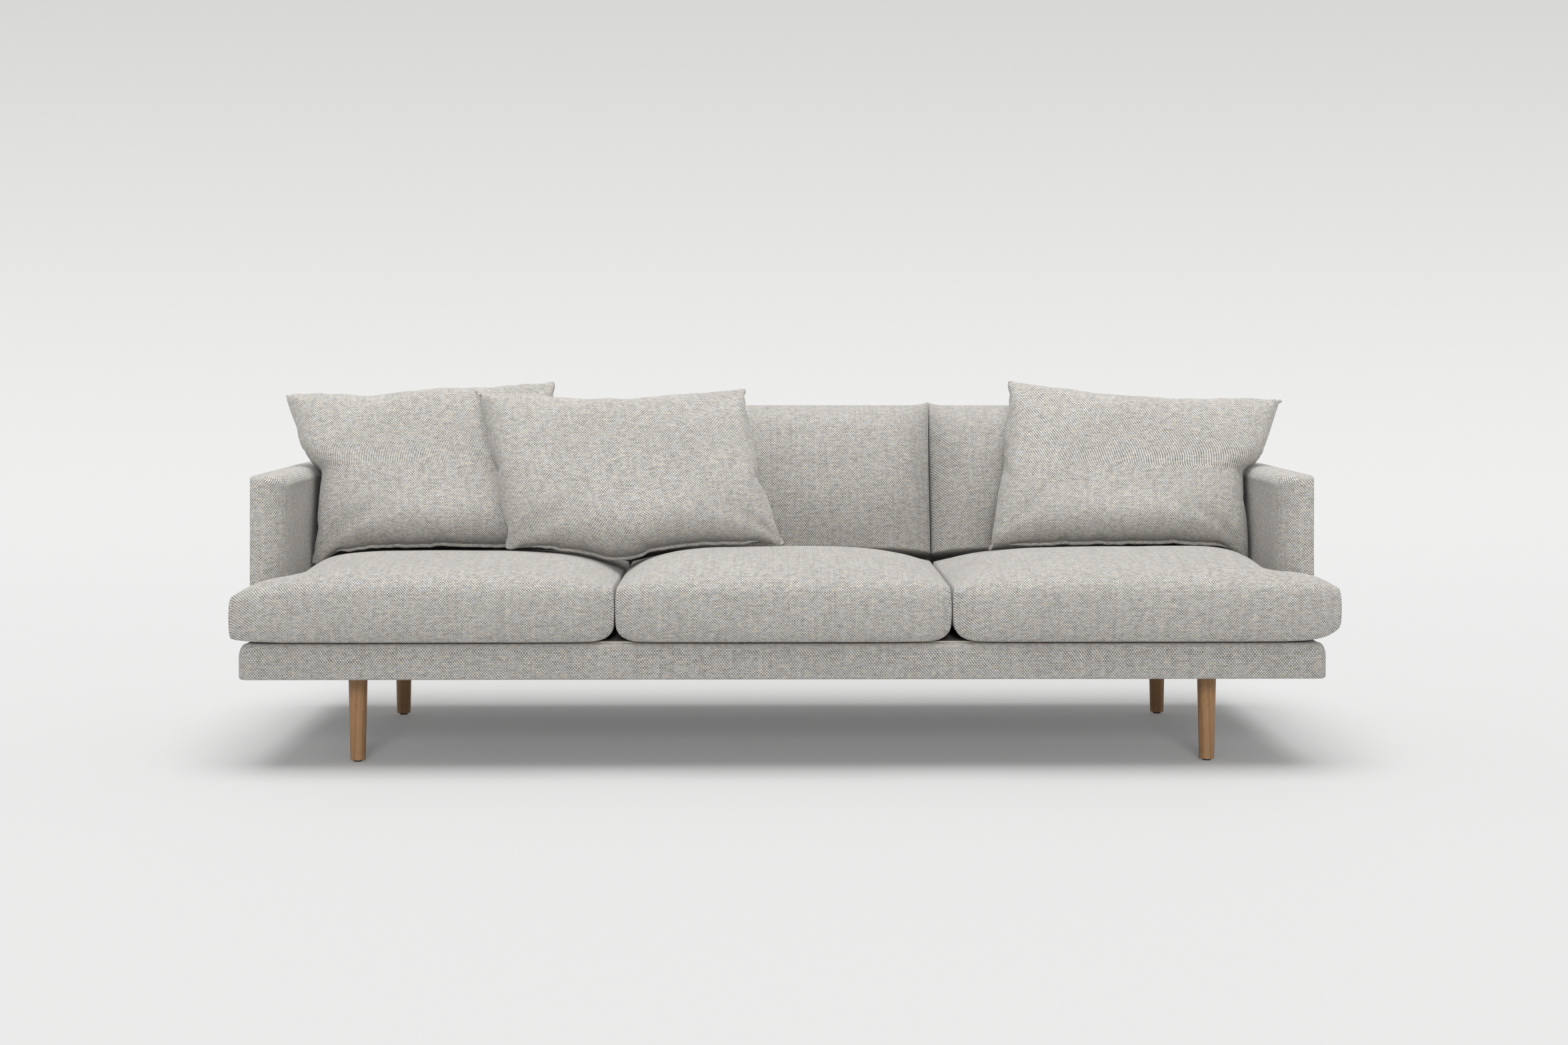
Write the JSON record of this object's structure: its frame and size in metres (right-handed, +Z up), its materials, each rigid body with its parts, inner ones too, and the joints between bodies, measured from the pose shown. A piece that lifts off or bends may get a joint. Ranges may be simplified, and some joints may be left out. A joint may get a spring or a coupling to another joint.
{
  "type": "sofa",
  "caption": "Three-seat sofa with T-shaped outer seat cushions, loose back and scatter cushions, slim padded arms and round tapered wooden legs.",
  "frame": {"origin": "on the floor, under the centre of the sofa's overall width and depth", "axes": "+X to the right of someone facing the sofa, +Y to its back, +Z up"},
  "size_m": [2.52, 0.96, 0.8657],
  "materials": {
    "upholstery": "two-tone tweed weave, warm light grey",
    "leg_wood": "oiled mid-brown oak, satin",
    "frame_timber": "planed softwood, unfinished",
    "padding": "foam wrapped in fibre wadding",
    "elastic_webbing": "ribbed elastic webbing",
    "dust_cloth": "black non-woven cloth",
    "deck_cloth": "plain grey lining cloth",
    "zip_tape": "woven tape with coil zip",
    "zinc_steel": "bright zinc plate",
    "glide_nylon": "dark nylon"
  },
  "bodies": {
    "frame": {"front_left_leg": "leg_wood", "front_right_leg": "leg_wood", "rear_left_leg": "leg_wood", "rear_right_leg": "leg_wood", "leg_glides": "glide_nylon", "hanger_bolts": "zinc_steel", "leg_inserts": "zinc_steel", "leg_plates": "zinc_steel", "front_rail": "frame_timber", "rear_rail": "frame_timber", "left_end_rail": "frame_timber", "right_end_rail": "frame_timber", "frame_bolts": "zinc_steel", "cross_rails": "frame_timber", "leg_boards": "frame_timber", "base_cover": "upholstery", "dust_cover": "dust_cloth", "seat_webbing": "elastic_webbing", "deck_pad": "padding", "deck_cover": "deck_cloth", "back_posts": "frame_timber", "back_top_rail": "frame_timber", "back_webbing": "elastic_webbing", "back_padding": "padding", "back_cover": "upholstery", "left_arm_posts": "frame_timber", "left_arm_rail": "frame_timber", "left_arm_padding": "padding", "left_arm_cover": "upholstery", "right_arm_posts": "frame_timber", "right_arm_rail": "frame_timber", "right_arm_padding": "padding", "right_arm_cover": "upholstery"},
    "left_seat_cushion": {"left_seat_cover": "upholstery", "left_seat_filling": "padding", "left_seat_zip": "zip_tape"},
    "centre_seat_cushion": {"centre_seat_cover": "upholstery", "centre_seat_filling": "padding", "centre_seat_zip": "zip_tape"},
    "right_seat_cushion": {"right_seat_cover": "upholstery", "right_seat_filling": "padding", "right_seat_zip": "zip_tape"},
    "left_back_cushion": {"left_back_cover": "upholstery", "left_back_filling": "padding", "left_back_zip": "zip_tape"},
    "centre_back_cushion": {"centre_back_cover": "upholstery", "centre_back_filling": "padding", "centre_back_zip": "zip_tape"},
    "right_back_cushion": {"right_back_cover": "upholstery", "right_back_filling": "padding", "right_back_zip": "zip_tape"},
    "left_scatter_cushion": {"left_scatter_cover": "upholstery", "left_scatter_filling": "padding", "left_scatter_zip": "zip_tape"},
    "centre_scatter_cushion": {"centre_scatter_cover": "upholstery", "centre_scatter_filling": "padding", "centre_scatter_zip": "zip_tape"},
    "right_scatter_cushion": {"right_scatter_cover": "upholstery", "right_scatter_filling": "padding", "right_scatter_zip": "zip_tape"}
  },
  "joints": [
    {"name": "left_seat_pull", "type": "slide", "parent": "frame", "child": "left_seat_cushion", "axis": [0, -1, 0], "range_m": [0, 0.7]},
    {"name": "centre_seat_pull", "type": "slide", "parent": "frame", "child": "centre_seat_cushion", "axis": [0, -1, 0], "range_m": [0, 0.7]},
    {"name": "right_seat_pull", "type": "slide", "parent": "frame", "child": "right_seat_cushion", "axis": [0, -1, 0], "range_m": [0, 0.7]},
    {"name": "left_back_lift", "type": "slide", "parent": "frame", "child": "left_back_cushion", "axis": [0, 0.2924, 0.9563], "range_m": [0, 0.4]},
    {"name": "centre_back_lift", "type": "slide", "parent": "frame", "child": "centre_back_cushion", "axis": [0, 0.2924, 0.9563], "range_m": [0, 0.4]},
    {"name": "right_back_lift", "type": "slide", "parent": "frame", "child": "right_back_cushion", "axis": [0, 0.2924, 0.9563], "range_m": [0, 0.4]},
    {"name": "left_scatter_lift", "type": "slide", "parent": "left_back_cushion", "child": "left_scatter_cushion", "axis": [0, 0.4067, 0.9135], "range_m": [0, 0.45]},
    {"name": "centre_scatter_lift", "type": "slide", "parent": "left_scatter_cushion", "child": "centre_scatter_cushion", "axis": [0, 0.4067, 0.9135], "range_m": [0, 0.45]},
    {"name": "right_scatter_lift", "type": "slide", "parent": "right_back_cushion", "child": "right_scatter_cushion", "axis": [0, 0.4067, 0.9135], "range_m": [0, 0.45]}
  ]
}
